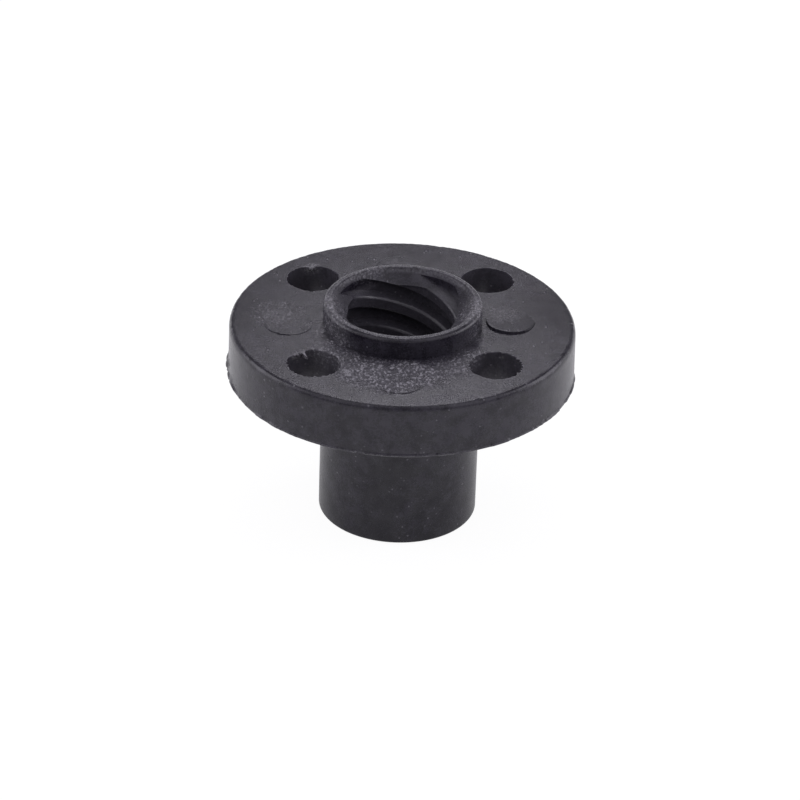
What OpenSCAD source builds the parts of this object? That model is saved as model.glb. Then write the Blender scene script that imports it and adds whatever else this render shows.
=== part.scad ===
// Flanged nut for a multi-start trapezoidal lead screw, moulded in one piece.
// The bore's axis is Z. The barrel's free end is at Z = 0 and the collar's rim is at the top.

/* [Flange] */
// Diameter of the flange at its upper edge
flange_d = 22; // [21:0.5:40]
// Thickness of the flange
flange_h = 3.5; // [2.5:0.1:8]
// Draft of the flange's side, in degrees, which widens it down to the parting line
flange_draft = 1; // [0:0.1:2]
// Radius of the flange's rounded upper edge
flange_edge_r = 0.2; // [0.1:0.05:0.6]
// Width of the thin flash that stands out along the parting line
flash_w = 0.1; // [0.05:0.01:0.2]
// Height of the flash where it leaves the flange
flash_h = 0.2; // [0.1:0.02:0.5]

/* [Barrel] */
// Diameter of the barrel
barrel_d = 10.2; // [9.8:0.1:12]
// Length of the barrel below the flange
barrel_len = 10; // [6:0.5:25]
// Radius of the rounded edge at the barrel's free end
barrel_edge_r = 0.2; // [0.05:0.05:0.4]
// Fillet between the barrel and the flange
barrel_fillet_r = 0.3; // [0.1:0.05:0.6]

/* [Collar] */
// Outer diameter of the collar
collar_d = 10.1; // [9.8:0.1:12]
// Height of the collar above the flange
collar_h = 1.5; // [1.2:0.1:6]
// Radius of the collar's rim on its outside
collar_edge_r = 0.3; // [0.05:0.05:0.35]
// Fillet between the collar and the flange
collar_fillet_r = 0.1; // [0.05:0.05:0.4]

/* [Thread] */
// Number of thread starts
thread_starts = 4; // [1:1:4]
// Distance along the axis from one ridge to the next
thread_pitch = 2; // [1.8:0.1:3]
// Diameter across the crests of the ridges
crest_d = 7; // [6.2:0.1:7.2]
// Diameter across the bottoms of the grooves
root_d = 8.4; // [8:0.1:8.6]
// Width of each ridge along the axis, measured at its crest before the corners are bevelled
crest_w = 0.85; // [0.7:0.05:1.2]
// Angle of the ridges' flanks, in degrees
flank_angle = 15; // [10:1:20]
// Depth of the bevel that softens the corners of the crests
crest_bevel = 0.07; // [0.05:0.01:0.1]
// Direction in which the thread starts, in degrees about the axis
thread_turn = 24; // [0:1:90]

/* [Countersinks] */
// Included angle of both countersinks
countersink_angle = 118; // [90:1:120]
// Diameter of the countersink at the collar's rim
mouth_d = 8.84; // [8.7:0.02:9]
// Radius of the collar's rim on its inside, above the countersink
mouth_edge_r = 0.25; // [0.05:0.01:0.3]
// Diameter of the countersink at the barrel's free end
tail_d = 8.8; // [8.7:0.1:9.2]

/* [Screw holes] */
// Number of screw holes through the flange
hole_count = 4; // [3:1:6]
// Diameter of the circle through the holes' centres
hole_circle_d = 16; // [15:0.5:17]
// Diameter of each screw hole
hole_d = 3.4; // [2.6:0.1:3.6]

/* [Ejector pin marks] */
// Diameter of the round marks that the ejector pins leave on the flange
pin_mark_d = 3.1; // [2:0.1:3.4]
// How far the marks stand above the flange
pin_mark_h = 0.08; // [0.04:0.01:0.2]

/* [Gate mark] */
// Width of the broken gate, around the flange
gate_w = 1.4; // [0.6:0.1:3]
// Height of the broken gate
gate_h = 0.8; // [0.4:0.1:1.4]
// How far the broken gate stands out past the parting line
gate_out = 0.15; // [0.12:0.01:0.4]
// Distance of the broken gate above the flange's lower face
gate_lift = 0.1; // [0.05:0.05:0.6]

/* [Hidden] */
$fn = 96;
// Overlap that keeps the faces of cuts and joins from coinciding
over = 0.05;

flange_z = barrel_len;
flange_top = flange_z + flange_h;
top_z = flange_top + collar_h;
flange_r = flange_d / 2;
parting_r = flange_r + flange_h * tan(flange_draft);
collar_r = collar_d / 2;
barrel_r = barrel_d / 2;
crest_r = crest_d / 2;
root_r = root_d / 2;
mouth_r = mouth_d / 2;
tail_r = tail_d / 2;
countersink_slope = tan(countersink_angle / 2);

// Each mark lies between two screw holes: its distance from the collar and its direction
pin_marks = [[1.8, 0], [2.25, 90], [2.2, 184], [2.75, 267]];

// One helix advances by the lead in a turn, and the steps are its chords
lead = thread_starts * thread_pitch;
turn_steps = 36;
// How far the groove's cutter starts inside the crests, and before the thread's ends
cutter_inside = 0.25;
cutter_run = thread_pitch;

// The waste outside a rounded corner. The corner is at the origin, the solid fills the quadrant
// below and left of it, and the right-hand side may lean outwards by the draft.
module corner_waste(r, draft = 0) {
    centre = [r * tan(draft) - r / cos(draft), -r];
    normal = [cos(draft), sin(draft)];
    difference() {
        polygon([
            centre,
            [centre[0], over],
            [over, over],
            centre + (r + over) * normal
        ]);
        translate(centre) circle(r);
    }
}

// The fillet in the corner between a floor along X and a wall along Y
module corner_fillet(r) {
    difference() {
        translate([-over, -over]) square(r + over);
        translate([r, r]) circle(r);
    }
}

module flange_section() {
    polygon([
        [0, flange_z],
        [parting_r, flange_z],
        [parting_r + flash_w, flange_z + flash_h / 3],
        [parting_r - flash_h * tan(flange_draft), flange_z + flash_h],
        [flange_r, flange_top],
        [0, flange_top]
    ]);
}

// Half of the bore with its countersinks, before the grooves are cut
module bore_section() {
    mouth_z = top_z - mouth_edge_r;
    polygon([
        [0, -over],
        [tail_r + over * countersink_slope, -over],
        [crest_r, (tail_r - crest_r) / countersink_slope],
        [crest_r, mouth_z - (mouth_r - crest_r) / countersink_slope],
        [mouth_r, mouth_z],
        [mouth_r, top_z + over],
        [0, top_z + over]
    ]);
}

module half_section() {
    difference() {
        union() {
            square([barrel_r, flange_z + over]);
            flange_section();
            translate([0, flange_top - over]) square([collar_r, collar_h + over]);
            translate([collar_r, flange_top]) corner_fillet(collar_fillet_r);
            translate([barrel_r, flange_z]) mirror([0, 1]) corner_fillet(barrel_fillet_r);
        }
        translate([flange_r, flange_top]) corner_waste(flange_edge_r, flange_draft);
        translate([collar_r, top_z]) corner_waste(collar_edge_r);
        translate([mouth_r, top_z]) mirror([1, 0]) corner_waste(mouth_edge_r);
        translate([barrel_r, 0]) mirror([0, 1]) corner_waste(barrel_edge_r);
        bore_section();
    }
}

// Upper half of a groove's outline, from inside the crests out to the bottom: each point is its
// radius and its height above the groove's middle. The bevel of the crest's corner runs at 45
// degrees through the bore's wall, where no point of the outline lies.
function groove_edge() =
    let (
        half_w = (thread_pitch - crest_w) / 2,
        slope = tan(flank_angle),
        bevel_z = half_w - crest_bevel * slope
    ) [
        [crest_r - cutter_inside, bevel_z + crest_bevel + cutter_inside],
        [crest_r + crest_bevel, bevel_z],
        [root_r, half_w - (root_r - crest_r) * slope]
    ];

function ring_at(outline, z, turn) =
    [for (p = outline) [p[0] * cos(turn), p[0] * sin(turn), z + p[1]]];

// One helical groove: its outline is carried up the helix ring by ring
module groove(turn) {
    edge = groove_edge();
    m = len(edge);
    outline = concat([for (p = edge) [p[0], -p[1]]], [for (i = [m - 1:-1:0]) edge[i]]);
    n = len(outline);
    turns = (top_z + 2 * cutter_run) / lead;
    rings = ceil(turns * turn_steps);
    points = [for (i = [0:rings])
        each ring_at(outline, turns * lead * i / rings - cutter_run, 360 * turns * i / rings)];
    sides = [for (i = [0:rings - 1], j = [0:n - 1])
        let (a = i * n + j, b = i * n + (j + 1) % n)
        each [[a, b, b + n], [a, b + n, a + n]]];
    start = [[for (j = [n - 1:-1:0]) j]];
    end = [[for (j = [0:n - 1]) rings * n + j]];
    rotate([0, 0, turn]) polyhedron(points, concat(start, sides, end));
}

module pin_mark(distance, turn) {
    rotate([0, 0, turn])
        translate([collar_r + distance, 0, flange_top - over])
            cylinder(d = pin_mark_d, h = pin_mark_h + over);
}

// What is left of the gate where the moulding was broken from its runner
module gate_mark() {
    depth = 1;
    translate([-parting_r - gate_out, -gate_w / 2, flange_z + gate_lift])
        cube([depth, gate_w, gate_h]);
}

module screw_hole(turn) {
    rotate([0, 0, turn])
        translate([hole_circle_d / 2, 0, flange_z - 1])
            cylinder(d = hole_d, h = flange_h + 2);
}

module nut() {
    color([0.2, 0.2, 0.22])
    difference() {
        union() {
            rotate_extrude() half_section();
            for (mark = pin_marks) pin_mark(mark[0], mark[1]);
            gate_mark();
        }
        for (i = [0:thread_starts - 1]) groove(thread_turn + 360 * i / thread_starts);
        for (i = [0:hole_count - 1]) screw_hole(45 + 360 * i / hole_count);
    }
}

nut();
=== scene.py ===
"""The looks of a moulded lead screw nut: one dark plastic piece on a white floor."""

import bpy
import numpy as np
from mathutils import Matrix


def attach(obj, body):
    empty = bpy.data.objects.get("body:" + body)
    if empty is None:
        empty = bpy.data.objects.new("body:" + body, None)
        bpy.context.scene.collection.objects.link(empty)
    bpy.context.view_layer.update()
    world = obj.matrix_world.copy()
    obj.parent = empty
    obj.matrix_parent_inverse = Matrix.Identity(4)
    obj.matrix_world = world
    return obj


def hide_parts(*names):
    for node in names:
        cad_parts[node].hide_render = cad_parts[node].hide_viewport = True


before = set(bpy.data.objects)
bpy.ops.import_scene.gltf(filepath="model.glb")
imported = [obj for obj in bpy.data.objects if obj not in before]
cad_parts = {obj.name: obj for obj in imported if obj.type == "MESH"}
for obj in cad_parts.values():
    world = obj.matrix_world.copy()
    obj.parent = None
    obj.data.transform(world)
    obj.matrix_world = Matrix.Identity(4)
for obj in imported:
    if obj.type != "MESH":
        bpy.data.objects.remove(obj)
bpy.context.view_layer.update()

# Metres in a millimetre
MM = 0.001

# Sizes of the nut, in millimetres. Its axis is Z and it stands on the barrel's free end.
BARREL_R = 5.1
BARREL_TOP = 10.0
BARREL_EDGE_R = 0.2
BARREL_FILLET_R = 0.3
FLANGE_R = 11.0
FLANGE_TOP = 13.5
# How far the flange's top has sunk towards its edge, and from which radius to which
SAG = 0.05
SAG_FROM_R = 6.4
SAG_TO_R = 10.7
DRAFT = np.radians(1)
# Width and height of the flange's soft upper edge
EDGE_W = 0.25
EDGE_H = 0.45
# How much wider the draft has made the flange where that edge begins
EDGE_OUT = 0.008
PARTING_R = FLANGE_R + (FLANGE_TOP - BARREL_TOP) * np.tan(DRAFT)
COLLAR_R = 5.05
RIM_TOP = 15.0
RIM_OUTER_R = 0.34
RIM_INNER_R = 0.22
MOUTH_R = 4.42
TAIL_R = 4.4
CREST_R = 3.5
# Where the upper countersink comes down to the crests
CREST_TOP = 14.2
ROOT_R = 4.2
COUNTERSINK = np.tan(np.radians(59))

# The thread: four ridges, 2 mm from one to the next, so 8 mm in a turn
STARTS = 4
PITCH = 2.0
LEAD = STARTS * PITCH
RIDGE_W = 0.82
FLANK = np.radians(15)
# Radii of the ridges' corners: the lower one, and the upper one, which is worn rounder
CORNER_R = 0.16
WORN_CORNER_R = 0.26
THREAD_TURN = np.radians(23.6)

HOLE_R = 1.7
HOLE_CIRCLE_R = 8.0
# Rounds at a screw hole's lower and upper end
HOLE_LOWER_R = 0.06
HOLE_UPPER_R = 0.07

# How far the flash at the parting line and the broken gate stand out
FLASH_W = 0.085
GATE_OUT = 0.17

# The round marks of the ejector pins: distance from the axis and direction, the height of the
# disc, how far it leans and towards which direction it is high
PIN_MARK_R = 1.55
PIN_MARKS = [
    (6.85, 0, 0.10, 0.06, 225),
    (7.3, 90, 0.012, 0.004, 0),
    (7.25, 184, 0.015, 0.025, 262),
    (7.8, 267, 0.01, 0.02, 262),
]

# Points round the nut, round a screw hole and round a disc, and rings along a groove
AROUND = 640
HOLE_STEPS = 200
MARK_STEPS = 180
GROOVE_RINGS = 240


# ---------------------------------------------------------------- surfaces

def arc(centre, radius, start, end, steps):
    """Points of a circle's arc: centre plus radius times (cosine, sine) of an angle that
    goes evenly from start to end, in degrees."""
    angle = np.radians(np.linspace(start, end, steps + 1))
    return np.stack([centre[0] + radius * np.cos(angle), centre[1] + radius * np.sin(angle)], -1)


def ripple(turn, seed, slowest, fastest):
    """A closed random curve round a turn: cosines of whole frequencies, each with a phase of
    its own and a height that falls with the root of its frequency, scaled to a spread of 1."""
    k = np.arange(slowest, fastest + 1)
    phase = np.random.default_rng(seed).uniform(0, 2 * np.pi, k.size)
    height = 1 / np.sqrt(k)
    waves = np.cos(turn[..., None] * k + phase) * height
    return waves.sum(-1) / np.sqrt((height ** 2).sum() / 2)


def hump(turn, centre, half_width):
    """A smooth hump of height 1 round a turn: the exponential of minus the square of the
    angle from its centre over its half width, both in degrees."""
    away = (np.degrees(turn) - centre + 180) % 360 - 180
    return np.exp(-(away / half_width) ** 2)


def grid_faces(rows, cols, closed_rows):
    """The quads of a grid of points that closes on itself along its columns, and along its
    rows too where closed_rows is true."""
    i = np.arange(rows if closed_rows else rows - 1)[:, None]
    j = np.arange(cols)[None, :]
    after, right = (i + 1) % rows, (j + 1) % cols
    quads = np.stack(np.broadcast_arrays(
        i * cols + j, i * cols + right, after * cols + right, after * cols + j), -1)
    return quads.reshape(-1, 4)


def revolve(profile, turn):
    """A profile of radius and height carried round Z: each point is (radius times cosine,
    radius times sine, height). profile is (rows, 2), or (rows, columns, 2) where it changes
    on its way round."""
    if profile.ndim == 2:
        profile = np.broadcast_to(profile[:, None], (len(profile), turn.size, 2))
    r, z = profile[..., 0], profile[..., 1]
    return np.stack([r * np.cos(turn), r * np.sin(turn), z], -1)


def make_mesh(name, grids):
    """A mesh of one or more grids of points in millimetres. Each is (points, closed_rows),
    and a grid whose rows are open gets a flat cap on its first and its last row."""
    points, faces, offset = [], [], 0
    for grid, closed_rows in grids:
        rows, cols = grid.shape[:2]
        points.append(grid.reshape(-1, 3))
        faces += (grid_faces(rows, cols, closed_rows) + offset).tolist()
        if not closed_rows:
            faces.append((np.arange(cols)[::-1] + offset).tolist())
            faces.append((np.arange(cols) + (rows - 1) * cols + offset).tolist())
        offset += rows * cols
    mesh = bpy.data.meshes.new(name)
    mesh.from_pydata(np.concatenate(points) * MM, [], faces)
    mesh.validate()
    return mesh


def make_object(name, mesh):
    """An object that shows the mesh, at the origin of the scene."""
    piece = bpy.data.objects.new(name, mesh)
    bpy.context.scene.collection.objects.link(piece)
    return piece


def shade(mesh, angle):
    """Smooth shading, broken at edges that fold by more than the angle in degrees."""
    mesh.shade_smooth()
    mesh.set_sharp_from_angle(angle=np.radians(angle))


# ---------------------------------------------------------------- the moulding

def profile_parts():
    """The nut's section without its thread and screw holes, as named runs of points. It goes
    outwards along the barrel's end, up the outside, in over the collar's rim and down the
    bore."""
    barrel_z = np.linspace(0.8, BARREL_TOP - 0.8, 6)
    side_z = BARREL_TOP + np.concatenate([np.linspace(0.2, 0.95, 7), np.linspace(1.2, 2.8, 5)])
    edge_centre = (FLANGE_R + EDGE_OUT - EDGE_W, FLANGE_TOP - EDGE_H - SAG)
    top_r = np.array([10.68, 10.62, 10.3, 9.9, 9.4, 8.9, 8.4, 7.9, 7.4, 6.9, 6.4, 5.2, 5.1])
    sunk = np.maximum(top_r - SAG_FROM_R, 0) / (SAG_TO_R - SAG_FROM_R)
    lip_z = BARREL_TOP + np.array([0.0, 0.05, 0.1])
    return {
        "tail": [(TAIL_R, 0.0)],
        "barrel_edge": arc(
            (BARREL_R - BARREL_EDGE_R, BARREL_EDGE_R), BARREL_EDGE_R, -90, 0, 7),
        "barrel": np.stack([np.full_like(barrel_z, BARREL_R), barrel_z], -1),
        "fillet": arc(
            (BARREL_R + BARREL_FILLET_R, BARREL_TOP - BARREL_FILLET_R), BARREL_FILLET_R, 180, 90, 7),
        "underside": [
            (BARREL_R + 0.35, BARREL_TOP), (BARREL_R + 0.45, BARREL_TOP),
            (FLANGE_R - 0.1, BARREL_TOP)],
        "lip": np.stack([np.full_like(lip_z, PARTING_R), lip_z], -1),
        "side": np.stack([FLANGE_R + (FLANGE_TOP - side_z) * np.tan(DRAFT), side_z], -1),
        "edge": edge_centre + arc((0, 0), 1, 2, 88, 9) * (EDGE_W, EDGE_H),
        "top": np.stack([top_r, FLANGE_TOP - SAG * sunk ** 2], -1),
        "collar_wall": [
            (COLLAR_R, FLANGE_TOP), (COLLAR_R, FLANGE_TOP + 0.05), (COLLAR_R, RIM_TOP - 0.38)],
        "rim_outside": arc((COLLAR_R - RIM_OUTER_R, RIM_TOP - RIM_OUTER_R), RIM_OUTER_R, 0, 87, 12),
        "rim_inside": arc((MOUTH_R + RIM_INNER_R, RIM_TOP - RIM_INNER_R), RIM_INNER_R, 90, 150, 7),
        "crest": [
            (CREST_R, CREST_TOP),
            (CREST_R, (TAIL_R - CREST_R) / COUNTERSINK)],
    }


def nut_profile(turn):
    """The nut's section all the way round. The lip of flash at the parting line, the broken
    gate, the flange's soft upper edge and the collar's rim vary with the direction."""
    parts = profile_parts()
    ends = np.cumsum([len(points) for points in parts.values()])
    rows = {
        name: slice(end - len(points), end) for end, (name, points) in zip(ends, parts.items())}
    section = np.concatenate([np.asarray(points, float) for points in parts.values()])
    section = np.repeat(section[:, None], turn.size, 1)

    # The lip of flash, broken in places
    lip = np.clip(0.5 + 0.5 * ripple(turn, 3, 4, 50) + 0.25 * ripple(turn, 4, 50, 180), 0, 1)
    section[rows["lip"], :, 0] += np.array([0.5, 1.0, 0.9])[:, None] * FLASH_W * lip
    # The gate, broken off a little unevenly, and a flake of it further round
    gate = np.clip(1.6 * hump(turn, 180, 4.2) - 0.3, 0, 1) * (0.75 + 0.3 * ripple(turn, 5, 40, 160))
    small = np.clip(1.5 * hump(turn, 191, 2.2) - 0.3, 0, 1)
    rise = np.array([0.4, 0.95, 1, 0.9, 0.6, 0.15, 0, 0, 0, 0, 0, 0])
    low = np.array([1, 0.8, 0.3, 0, 0, 0, 0, 0, 0, 0, 0, 0])
    section[rows["side"], :, 0] += (
        GATE_OUT * rise[:, None] * np.clip(gate, 0, 1) + 0.07 * low[:, None] * small)
    # The flange's upper edge is worn unevenly
    wear = 0.012 * ripple(turn, 6, 6, 40) + 0.008 * ripple(turn, 8, 40, 160)
    along = np.linspace(0, 1, len(parts["edge"]))[:, None]
    section[rows["edge"], :, 0] -= np.abs(wear) * along
    section[rows["edge"], :, 1] -= 0.5 * np.abs(wear) * along ** 2
    # The whole moulding is a few hundredths of a millimetre out of true
    section[rows["side"], :, 0] += np.minimum(0.008 * ripple(turn, 7, 2, 9), 0)
    swell = 0.006 * ripple(turn + section[rows["barrel"], :, 1] * 0.4, 9, 2, 9)
    section[rows["barrel"], :, 0] += np.minimum(swell, 0)
    # The rim is uneven, and lowest at the front
    uneven = 0.007 * np.abs(ripple(turn, 10, 6, 40)) + 0.06 * (1 - np.sin(turn))
    outside = np.linspace(0, 1, len(parts["rim_outside"]))[:, None]
    inside = np.linspace(1, 0.6, len(parts["rim_inside"]))[:, None]
    section[rows["rim_outside"], :, 1] -= outside * uneven
    section[rows["rim_inside"], :, 1] -= inside * uneven
    return section


def hole_cutter(turn, hole):
    """The space of one screw hole, about its own axis: a radius that wanders a little, a
    small round at each end, and near the upper end burrs that lean down into the hole."""
    lower = np.radians([30, 60, 90])
    upper = np.radians([0, 25, 50, 72])
    heights = np.concatenate([
        BARREL_TOP + np.array([-0.3, 0.0]), BARREL_TOP + HOLE_LOWER_R * (1 - np.cos(lower)),
        BARREL_TOP + np.array([1.0, 2.0]), FLANGE_TOP - np.array([0.6, 0.4, 0.3, 0.2, 0.13]),
        FLANGE_TOP - HOLE_UPPER_R * (1 - np.sin(upper)), [FLANGE_TOP + 0.3]])
    flare = np.concatenate([
        [HOLE_LOWER_R, HOLE_LOWER_R], HOLE_LOWER_R * (1 - np.sin(lower)), np.zeros(7),
        HOLE_UPPER_R * (1 - np.cos(upper)), [0.1]])
    lean = np.concatenate([np.zeros(8), [0.0, 0.5, 0.85, 1.0, 1.0, 0.97, 0.93, 0.9, 0.9]])
    broken = np.concatenate([np.zeros(8), [0.0, 0.1, 0.35, 0.6, 0.75, 0.9, 1.0, 1.0, 1.0]])
    wander = 0.012 * ripple(turn, 20 + hole, 2, 8)
    ragged = 0.004 * ripple(turn, 30 + hole, 9, 60)
    burr = HOLE_BURRS[hole](turn) * (0.8 + 0.3 * ripple(turn, 40 + hole, 8, 60)) + ragged
    r = HOLE_R + flare[:, None] + wander
    r = r - lean[:, None] * np.clip(burr, 0, 0.9) + broken[:, None] * np.clip(-burr, 0, 0.15)
    section = np.stack([r, np.broadcast_to(heights[:, None], r.shape)], -1)
    # The first hole is midway between X and Y, and the others follow at right angles
    angle = np.radians(45 + 90 * hole)
    centre = HOLE_CIRCLE_R * np.array([np.cos(angle), np.sin(angle), 0])
    return revolve(section, turn) + centre


def teeth(turn, seed):
    """An edge of small teeth round a turn: a fast random curve, cut off at its middle."""
    return np.clip(ripple(turn, seed, 14, 44), 0, 1.6)


# Each hole's upper edge: where burrs stand into the hole and where small bits are broken out,
# by direction about the hole's own axis
HOLE_BURRS = [
    lambda turn: 0.03 * hump(turn, 200, 30) + 0.05 * teeth(turn, 62) * hump(turn, 20, 60),
    lambda turn: (
        0.36 * hump(turn, 93, 8) - 0.13 * hump(turn, 264, 15) + 0.03 * hump(turn, 0, 30)
        + 0.05 * teeth(turn, 63) * hump(turn, 180, 60)),
    lambda turn: (
        0.55 * hump(turn, 118, 5) + 0.45 * hump(turn, 126, 12) - 0.06 * hump(turn, 165, 12)
        + 0.11 * teeth(turn, 60) * (
            hump(turn, 285, 50) + hump(turn, 190, 22) + hump(turn, 20, 40))),
    lambda turn: 0.13 * teeth(turn, 61) * (hump(turn, 0, 60) + 0.6 * hump(turn, 160, 60)),
]


def groove_side(corner_r):
    """The upper half of a groove's outline, as radius and height above the groove's middle:
    from inside the crests, round the crest's corner and out along the flank to the root."""
    half_w = (PITCH - RIDGE_W) / 2
    corner_z = half_w + corner_r * np.tan((np.pi / 2 - FLANK) / 2)
    corner = arc((CREST_R + corner_r, corner_z), corner_r, 200, 255, 6)
    root = (ROOT_R, half_w - (ROOT_R - CREST_R) * np.tan(FLANK))
    return np.concatenate([[(CREST_R - 0.28, 0.96)], corner, [root]])


def groove_cutter(start):
    """The space of one groove of the thread. Its outline is carried up a helix: the angle
    goes up with the height, by a full turn for each lead. The groove's lower crest corner,
    which is the upper one of the ridge below it, is worn rounder than the other."""
    outline = np.concatenate([
        groove_side(CORNER_R), groove_side(WORN_CORNER_R)[::-1] * [1, -1]])
    height = np.linspace(-PITCH, RIM_TOP + PITCH, GROOVE_RINGS)
    turn = THREAD_TURN + 2 * np.pi * (start / STARTS + (height + PITCH) / LEAD)
    r = outline[None, :, 0]
    z = height[:, None] + outline[None, :, 1]
    turn = turn[:, None]
    return np.stack([r * np.cos(turn), r * np.sin(turn), z + 0 * turn], -1)


def cut(piece, cutter):
    """Takes the cutter's space out of the piece, and the cutter with it."""
    modifier = piece.modifiers.new("cut", "BOOLEAN")
    modifier.operation = "DIFFERENCE"
    modifier.solver = "MANIFOLD"
    modifier.object = cutter
    graph = bpy.context.evaluated_depsgraph_get()
    mesh = bpy.data.meshes.new_from_object(piece.evaluated_get(graph))
    piece.modifiers.clear()
    piece.data = mesh
    bpy.data.objects.remove(cutter)


turn = np.linspace(0, 2 * np.pi, AROUND, endpoint=False)
nut = make_object("moulded_nut", make_mesh("moulded_nut", [
    (revolve(nut_profile(turn), turn), True)]))
hole_turn = np.linspace(0, 2 * np.pi, HOLE_STEPS, endpoint=False)
cut(nut, make_object("holes", make_mesh("holes", [
    (hole_cutter(hole_turn, i), False) for i in range(len(HOLE_BURRS))])))
for i in range(STARTS):
    cut(nut, make_object("groove", make_mesh("groove", [(groove_cutter(i), False)])))
shade(nut.data, 19)


def pin_mark(mark, turn, seed):
    """A raised disc: a flat top that leans a little, a slightly worn and uneven edge, and a
    wall that goes down into the flange."""
    distance, direction, height, leaning, high_side = mark
    r = PIN_MARK_R * (1 + 0.006 * ripple(turn, seed, 2, 40))
    plane = height + leaning * np.cos(turn - np.radians(high_side))
    rise = FLANGE_TOP + plane + 0.006 * ripple(turn, seed + 10, 5, 40)
    below = np.full_like(turn, FLANGE_TOP - 0.1)
    rings = [(r, below), (r, rise - 0.02), (r - 0.008, rise - 0.006), (r - 0.03, rise)]
    rings += [
        (r * share, FLANGE_TOP + height + (plane - height) * share) for share in (0.9, 0.5, 0.1)]
    angle = np.radians(direction)
    section = np.stack([np.stack(ring, -1) for ring in rings])
    return revolve(section, turn) + distance * np.array([np.cos(angle), np.sin(angle), 0])


mark_turn = np.linspace(0, 2 * np.pi, MARK_STEPS, endpoint=False)
marks = make_object("ejector_pin_marks", make_mesh("ejector_pin_marks", [
    (pin_mark(mark, mark_turn, 50 + i), False) for i, mark in enumerate(PIN_MARKS)]))
shade(marks.data, 50)


# ---------------------------------------------------------------- material

def add(tree, kind, values=(), **settings):
    """A node with its settings, and values for its sockets by name or number: a plain value,
    or another node's output."""
    node = tree.nodes.new(kind)
    for name, value in settings.items():
        setattr(node, name, value)
    for name, value in dict(values).items():
        if isinstance(value, bpy.types.NodeSocket):
            tree.links.new(value, node.inputs[name])
        else:
            node.inputs[name].default_value = value
    return node


# The two charcoals that are mixed; the painted shade of pits; and the pale colour of grain and
# scratches, which also carries the painted glints, painted light and painted highlights
BASE_DARK = (0.0112, 0.0095, 0.0155, 1)
BASE_PALE = (0.0282, 0.0255, 0.0360, 1)
PAINTED_PIT_SHADE = (0.003, 0.003, 0.004, 1)
PALE_GRAIN_AND_PAINTED_LIGHT = (0.34, 0.33, 0.36, 1)
# Height of the relief, in millimetres
BUMP_MM = 0.08

# Where the mould has left a coarse, eroded grain: a place, the distances within which the
# grain is full and past which it is gone, and how coarse it is
COARSE = [
    ((-2.4, -6.7, FLANGE_TOP), 1.0, 2.3, 1.0),
    ((-0.9, -7.6, FLANGE_TOP), 1.2, 2.1, 1.0),
    ((1.2, -7.0, FLANGE_TOP), 0.8, 2.0, 0.9),
    ((2.9, -6.0, FLANGE_TOP), 0.4, 1.8, 0.7),
    ((4.1, -4.7, FLANGE_TOP), 0.3, 1.4, 0.55),
    ((-3.7, -5.1, FLANGE_TOP), 0.5, 1.7, 0.8),
    ((-4.7, -3.4, FLANGE_TOP + 0.1), 0.5, 1.7, 0.7),
    ((0.0, -6.3, FLANGE_TOP - 0.1), 0.9, 1.5, 0.9),
    ((-6.25, -4.75, FLANGE_TOP), 0.4, 1.0, 0.8),
    ((-5.75, 7.1, FLANGE_TOP), 0.3, 0.8, 0.7),
    ((-8.0, 0.7, FLANGE_TOP), 0.5, 2.2, 0.35),
    ((6.4, 1.0, FLANGE_TOP), 0.3, 1.6, 0.4),
    ((-4.9, -1.6, FLANGE_TOP + 0.7), 0.4, 1.6, 0.7),
    ((-4.7, -0.6, RIM_TOP), 0.5, 1.8, 0.7),
    ((-4.1, -2.4, RIM_TOP), 0.5, 1.5, 0.6),
    ((4.6, -1.2, RIM_TOP), 0.6, 2.0, 0.7),
    ((-2.4, 4.1, RIM_TOP), 0.5, 1.6, 0.4),
    ((4.8, -2.0, FLANGE_TOP + 0.7), 0.4, 1.4, 0.5),
]

# Painted shade: where the plastic is painted a little darker and less glossy, standing in for
# less light falling there: the flange's two ends and its back, and low on the barrel and bore
PAINTED_SHADE_SPOTS = [
    ((10.8, 1.5, FLANGE_TOP - 0.1), 1.5, 5.0, 1.2),
    ((-10.5, 1.5, FLANGE_TOP - 0.1), 0.5, 3.5, 1.0),
    ((0.0, 10.0, FLANGE_TOP - 0.1), 1.0, 5.0, 0.6),
    ((0.0, 0.0, 0.0), 5.5, 9.0, 0.4),
]

# Fine scratches on the flange's top: the middle, the direction in degrees, the length
SCRATCHES = [
    ((3.5, -5.28, FLANGE_TOP), 0, 0.9),
    ((3.55, -5.68, FLANGE_TOP), 1, 0.8),
    ((-6.2, -0.75, FLANGE_TOP), 62, 0.5),
    ((-5.9, -0.7, FLANGE_TOP), -60, 0.55),
]


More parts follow.
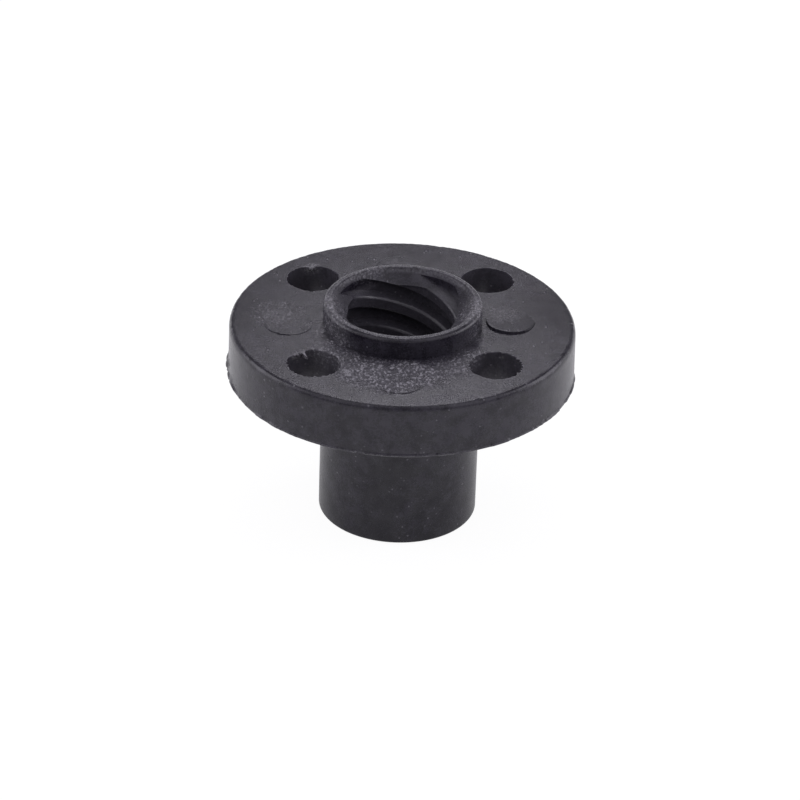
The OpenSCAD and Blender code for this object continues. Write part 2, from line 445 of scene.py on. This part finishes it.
def plastic():
    """Dark moulded plastic: a deep charcoal with a fine eroded grain, faintly uneven in
    colour and gloss, with small pale specks, which are painted glints, and dark pits, which are
    painted shade, where the mould is coarsest. Its colour also holds painted shade at the flange's
    ends and back and low on the barrel, painted light in the bore and screw holes, and painted
    highlights on the rim's crown and the lip at the parting line."""
    material = bpy.data.materials.new("charcoal_plastic")
    material.use_nodes = True
    tree = material.node_tree
    tree.nodes.clear()
    place = add(tree, "ShaderNodeTexCoord").outputs["Object"]
    mm = add(tree, "ShaderNodeVectorMath", {0: place, 3: 1000.0}, operation="SCALE").outputs[0]

    def noise(scale, detail, rough=0.55):
        return add(tree, "ShaderNodeTexNoise", {
            "Vector": mm, "Scale": scale, "Detail": detail, "Roughness": rough}).outputs["Fac"]

    def ramp(value, low, high, to_low, to_high):
        """A value taken straight from one range to another and held at the ends."""
        return add(tree, "ShaderNodeMapRange", {
            "Value": value, "From Min": low, "From Max": high,
            "To Min": to_low, "To Max": to_high}).outputs["Result"]

    def math(kind, a, b):
        return add(tree, "ShaderNodeMath", {0: a, 1: b}, operation=kind).outputs[0]

    def vector(kind, a, b=(0, 0, 0)):
        return add(tree, "ShaderNodeVectorMath", {0: a, 1: b}, operation=kind).outputs

    def near(point, inner, outer, amount):
        """The amount within the inner distance of a point in millimetres, and 0 past the
        outer one."""
        return ramp(vector("DISTANCE", mm, point)["Value"], inner, outer, amount, 0.0)

    def scratch(middle, direction, length):
        """1 along a thin straight line through a point, and 0 away from it: the distance
        from the point after the line's length is squeezed to its width."""
        turned = add(tree, "ShaderNodeMapping", {
            "Vector": mm, "Location": middle, "Rotation": (0, 0, np.radians(direction)),
            "Scale": (length / 0.05, 1, 1)}, vector_type="TEXTURE").outputs[0]
        return ramp(vector("LENGTH", turned)["Value"], 0.02, 0.05, 1.0, 0.0)

    def greatest(values):
        most = values[0]
        for value in values[1:]:
            most = math("MAXIMUM", most, value)
        return most

    def coarseness():
        """How coarse the grain is. The collar's wall and rim are smooth at the front."""
        smooth = math(
            "MULTIPLY", ramp(radius, COLLAR_R + 0.02, COLLAR_R + 0.25, 1.0, 0.0),
            ramp(apart["Y"], -4.3, -3.2, 0.9, 0.0))
        most = greatest([near(*spot) for spot in COARSE])
        most = math("MULTIPLY", most, math("SUBTRACT", 1.0, smooth))
        return math("MULTIPLY", most, ramp(noise(1.6, 2), 0.3, 0.55, 0.5, 1.0))

    def painted_light_inside():
        """1 in the bore below its countersink and in the screw holes, which are one place
        when the plan is folded along both axes. There the colour is painted paler: painted light."""
        bore = math(
            "MULTIPLY", ramp(radius, TAIL_R - 0.05, TAIL_R, 1.0, 0.0),
            ramp(apart["Z"], RIM_TOP - 1.0, RIM_TOP - 0.7, 1.0, 0.0))
        hole_at = HOLE_CIRCLE_R * np.sqrt(0.5)
        to_hole = vector("DISTANCE", vector("ABSOLUTE", across)[0], (hole_at, hole_at, 0))["Value"]
        return math("MAXIMUM", bore, ramp(to_hole, HOLE_R + 0.02, HOLE_R + 0.06, 1.0, 0.0))

    def rim_and_lip_highlight():
        """1 on the crown of the collar's rim and on the lip at the parting line, where a grainy
        highlight is painted in paler colour.
        """
        rim = math(
            "MULTIPLY", ramp(apart["Z"], RIM_TOP - 0.3, RIM_TOP - 0.2, 0.0, 1.0),
            ramp(radius, COLLAR_R - 0.31, COLLAR_R - 0.15, 1.0, 0.0))
        lip = math(
            "MULTIPLY", ramp(apart["Z"], BARREL_TOP + 0.1, BARREL_TOP + 0.16, 1.0, 0.0),
            ramp(apart["Z"], BARREL_TOP - 0.03, BARREL_TOP - 0.01, 0.0, 1.0))
        return math("MAXIMUM", rim, lip)

    def painted_glints():
        """Small pale spots in the cells of a fine random lattice, thick where the grain is coarse:
        painted glints, pale colour that stands in for sparkle of light on the grain.
        """
        cells = add(tree, "ShaderNodeTexVoronoi", {"Vector": stretched, "Scale": 5.5}, feature="F1")
        pick = add(tree, "ShaderNodeSeparateColor", {0: cells.outputs["Color"]}).outputs
        spread = ramp(noise(0.8, 2), 0.35, 0.7, 0.03, 0.10)
        share = math("MAXIMUM", math("MULTIPLY", coarse, 0.4), spread)
        chosen = math("GREATER_THAN", share, pick[0])
        size = ramp(cells.outputs["Distance"], 0.25, 0.45, 1.0, 0.0)
        return math("MULTIPLY", math("MULTIPLY", chosen, size), ramp(pick[1], 0.4, 1.0, 0.1, 1.0))

    across = vector("MULTIPLY", mm, (1, 1, 0))[0]
    radius = vector("LENGTH", across)["Value"]
    apart = add(tree, "ShaderNodeSeparateXYZ", {0: mm}).outputs
    # Drawn out a little across the flange, so that grains don't look flattened from a slant
    stretched = vector("MULTIPLY", mm, (1, 0.65, 1))[0]

    patches = noise(0.45, 3)
    grain = noise(7.5, 3, 0.6)
    fine = noise(20.0, 2, 0.6)
    lumps = add(tree, "ShaderNodeTexNoise", {
        "Vector": stretched, "Scale": 7.0, "Detail": 2.0, "Roughness": 0.5}).outputs["Fac"]
    coarse = coarseness()
    peaks = math("MULTIPLY", coarse, ramp(lumps, 0.52, 0.66, 0.0, 1.0))
    # Painted shade: the pits of the coarse grain are painted dark, standing in for shade in them
    pit_shade = math("MULTIPLY", coarse, ramp(lumps, 0.42, 0.34, 0.0, 1.0))
    # Painted glints: pale specks in the colour that stand in for sparkle of light
    glint_specks = painted_glints()
    scratches = greatest([scratch(*line) for line in SCRATCHES])

    # The colour: two charcoals, painted shade in the pits, at the flange's ends and back and low
    # on the barrel, and paler where there is grain or a scratch, with painted glints, painted light
    # in the bore and holes, and painted highlights on the rim and lip
    blotches = math(
        "ADD", ramp(noise(1.5, 3), 0.3, 0.7, -0.8, 0.8), ramp(grain, 0.3, 0.7, -0.8, 0.8))
    mottle = math("ADD", ramp(patches, 0.35, 0.65, 0.1, 0.9), blotches)
    # Painted shade: darker colour at the flange's ends and back and low on the barrel and bore
    painted_shade = greatest([near(*spot) for spot in PAINTED_SHADE_SPOTS])
    base = add(tree, "ShaderNodeMix", {
        "Factor": math("SUBTRACT", mottle, painted_shade),
        6: BASE_DARK, 7: BASE_PALE}, data_type="RGBA")
    pale = math("MULTIPLY", glint_specks, ramp(coarse, 0.0, 1.0, 0.3, 1.2))
    pale = math("ADD", pale, math("MULTIPLY", peaks, 0.9))
    pale = math("ADD", pale, math("MULTIPLY", coarse, 0.23))
    pale = math("MAXIMUM", pale, math("MULTIPLY", scratches, 0.12))
    # Painted light: the bore and the screw holes are painted paler
    pale = math("ADD", pale, math("MULTIPLY", painted_light_inside(), 0.12))
    # Painted highlight: the rim's crown and the parting lip are painted paler, in a grainy way
    pale = math("ADD", pale, math("MULTIPLY", rim_and_lip_highlight(), ramp(lumps, 0.35, 0.6, 0.02, 0.14)))
    pit_shaded = add(tree, "ShaderNodeMix", {
        "Factor": pit_shade, 6: base.outputs[2], 7: PAINTED_PIT_SHADE}, data_type="RGBA")
    colour = add(tree, "ShaderNodeMix", {
        "Factor": pale, 6: pit_shaded.outputs[2], 7: PALE_GRAIN_AND_PAINTED_LIGHT}, data_type="RGBA")

    # The gloss and the relief; the gloss is lower where shade is painted
    rough = math("ADD", ramp(patches, 0.3, 0.7, 0.19, 0.25), ramp(grain, 0.3, 0.7, -0.03, 0.03))
    rough = math("ADD", rough, math("MULTIPLY", coarse, 0.08))
    height = math("ADD", math("MULTIPLY", grain, 0.7), math("MULTIPLY", fine, 0.3))
    height = math("ADD", height, math("MULTIPLY", glint_specks, 0.3))
    height = math("ADD", height, math("MULTIPLY", math("MULTIPLY", lumps, coarse), 2.0))
    strength = ramp(coarse, 0.0, 1.0, 0.24, 1.0)
    bump = add(tree, "ShaderNodeBump", {
        "Height": height, "Distance": BUMP_MM * MM, "Strength": strength})
    shine = ramp(noise(1.1, 3), 0.35, 0.65, 0.56, 0.44)
    surface = add(tree, "ShaderNodeBsdfPrincipled", {
        "Base Color": colour.outputs[2], "Roughness": rough, "Normal": bump.outputs[0],
        "Specular IOR Level": math("SUBTRACT", shine, math("MULTIPLY", painted_shade, 0.1))})
    surface.inputs["IOR"].default_value = 1.5
    add(tree, "ShaderNodeOutputMaterial", {"Surface": surface.outputs[0]})
    return material


charcoal = plastic()
for piece in (nut, marks):
    piece.data.materials.clear()
    piece.data.materials.append(charcoal)
    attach(piece, "root")
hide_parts("nut")


# ---------------------------------------------------------------- floor, light and camera

# How much of the floor's sheet glows to the camera and in reflections, and how brightly
FLOOR_TO_CAMERA = 0.85
FLOOR_IN_REFLECTIONS = 0.3
FLOOR_GLOW = 1.1
# Half of the sheet's width, in millimetres
FLOOR_HALF = 900.0


def white_floor():
    """A white sheet. To the camera it mostly glows, so it comes out plain white with what is
    left of the nut's shadow. In reflections it glows less, and keeps more of the shadow."""
    material = bpy.data.materials.new("white_floor")
    material.use_nodes = True
    tree = material.node_tree
    tree.nodes.clear()
    path = add(tree, "ShaderNodeLightPath").outputs
    mirrored = add(tree, "ShaderNodeMath", {
        0: path["Is Glossy Ray"], 1: path["Is Transmission Ray"]}, operation="MAXIMUM").outputs[0]
    mirrored = add(tree, "ShaderNodeMath", {
        0: mirrored, 1: FLOOR_IN_REFLECTIONS}, operation="MULTIPLY").outputs[0]
    direct = add(tree, "ShaderNodeMath", {
        0: path["Is Camera Ray"], 1: FLOOR_TO_CAMERA}, operation="MULTIPLY").outputs[0]
    share = add(tree, "ShaderNodeMath", {0: direct, 1: mirrored}, operation="MAXIMUM").outputs[0]
    cloth = add(tree, "ShaderNodeBsdfDiffuse", {"Color": (0.93, 0.93, 0.93, 1)})
    glow = add(tree, "ShaderNodeEmission", {"Color": (1, 1, 1, 1), "Strength": FLOOR_GLOW})
    both = add(tree, "ShaderNodeMixShader", {0: share, 1: cloth.outputs[0], 2: glow.outputs[0]})
    add(tree, "ShaderNodeOutputMaterial", {"Surface": both.outputs[0]})
    return material


edge = np.array([[-1, -1, 0], [1, -1, 0], [1, 1, 0], [-1, 1, 0]]) * FLOOR_HALF
sheet = bpy.data.meshes.new("floor")
sheet.from_pydata(edge * MM, [], [[0, 1, 2, 3]])
floor = make_object("floor", sheet)
sheet.materials.append(white_floor())

# Plain studio light, very slightly cool
LIGHT_COLOUR = (0.99, 0.965, 1.05)
SKY_STRENGTH = 0.31
# Where the lamps aim, in millimetres
LAMP_AIM = (0, 0, 12)

world = bpy.data.worlds.new("studio")
bpy.context.scene.world = world
world.use_nodes = True
sky = world.node_tree.nodes["Background"]
sky.inputs["Color"].default_value = (*LIGHT_COLOUR, 1)
sky.inputs["Strength"].default_value = SKY_STRENGTH


def lamp(name, place, width, height, power):
    """A soft lamp at a place in millimetres that faces the nut."""
    light = bpy.data.lights.new(name, "AREA")
    light.shape = "RECTANGLE"
    light.size = width * MM
    light.size_y = height * MM
    light.energy = power
    light.color = LIGHT_COLOUR
    holder = bpy.data.objects.new(name, light)
    bpy.context.scene.collection.objects.link(holder)
    back = np.array(place, float) - np.array(LAMP_AIM, float)
    back /= np.linalg.norm(back)
    right = np.cross([0, 0.001, 1], back)
    right /= np.linalg.norm(right)
    up = np.cross(back, right)
    holder.matrix_world = Matrix(np.vstack([
        np.column_stack([right, up, back, np.array(place) * MM]), [0, 0, 0, 1]]).tolist())
    return holder


lamp("back_softbox", (12, 250, 295), 55, 240, 0.124)
lamp("backdrop", (0, 420, 40), 700, 80, 0.15)
lamp("top_softbox", (0, 0, 400), 300, 300, 0.09)
lamp("left_softbox", (-340, 60, 110), 240, 240, 0.32)
lamp("right_softbox", (340, 60, 110), 240, 240, 0.36)
lamp("front_left_softbox", (-300, -200, 340), 480, 480, 0.39)
lamp("front_right_softbox", (300, -200, 340), 480, 480, 0.39)

# The camera looks a little down on the nut and is turned slightly about its own line of sight
ELEVATION = 0.518526
ROLL = 0.0314267
AZIMUTH = -0.0409499
DISTANCE = 237.939
ASIDE = (0.16677, 5.03204)
LENS = 168.646
right = np.array([1, 0, 0.0])
up = np.array([0, np.sin(ELEVATION), np.cos(ELEVATION)])
back = np.array([0, -np.cos(ELEVATION), np.sin(ELEVATION)])
right, up = (np.cos(ROLL) * right + np.sin(ROLL) * up, np.cos(ROLL) * up - np.sin(ROLL) * right)
place = back * DISTANCE - right * ASIDE[0] - up * ASIDE[1]
swing = np.array([
    [np.cos(AZIMUTH), -np.sin(AZIMUTH), 0],
    [np.sin(AZIMUTH), np.cos(AZIMUTH), 0],
    [0, 0, 1]])
pose = swing @ np.column_stack([right, up, back, place])
pose[:, 3] = (pose[:, 3] + [0, 0, FLANGE_TOP]) * MM
camera = bpy.data.objects.new("camera", bpy.data.cameras.new("camera"))
bpy.context.scene.collection.objects.link(camera)
camera.matrix_world = Matrix(np.vstack([pose, [0, 0, 0, 1]]).tolist())
camera.data.sensor_width = 36
camera.data.lens = LENS
camera.data.clip_start = 0.01
bpy.context.scene.camera = camera
bpy.context.scene.view_settings.view_transform = "Standard"
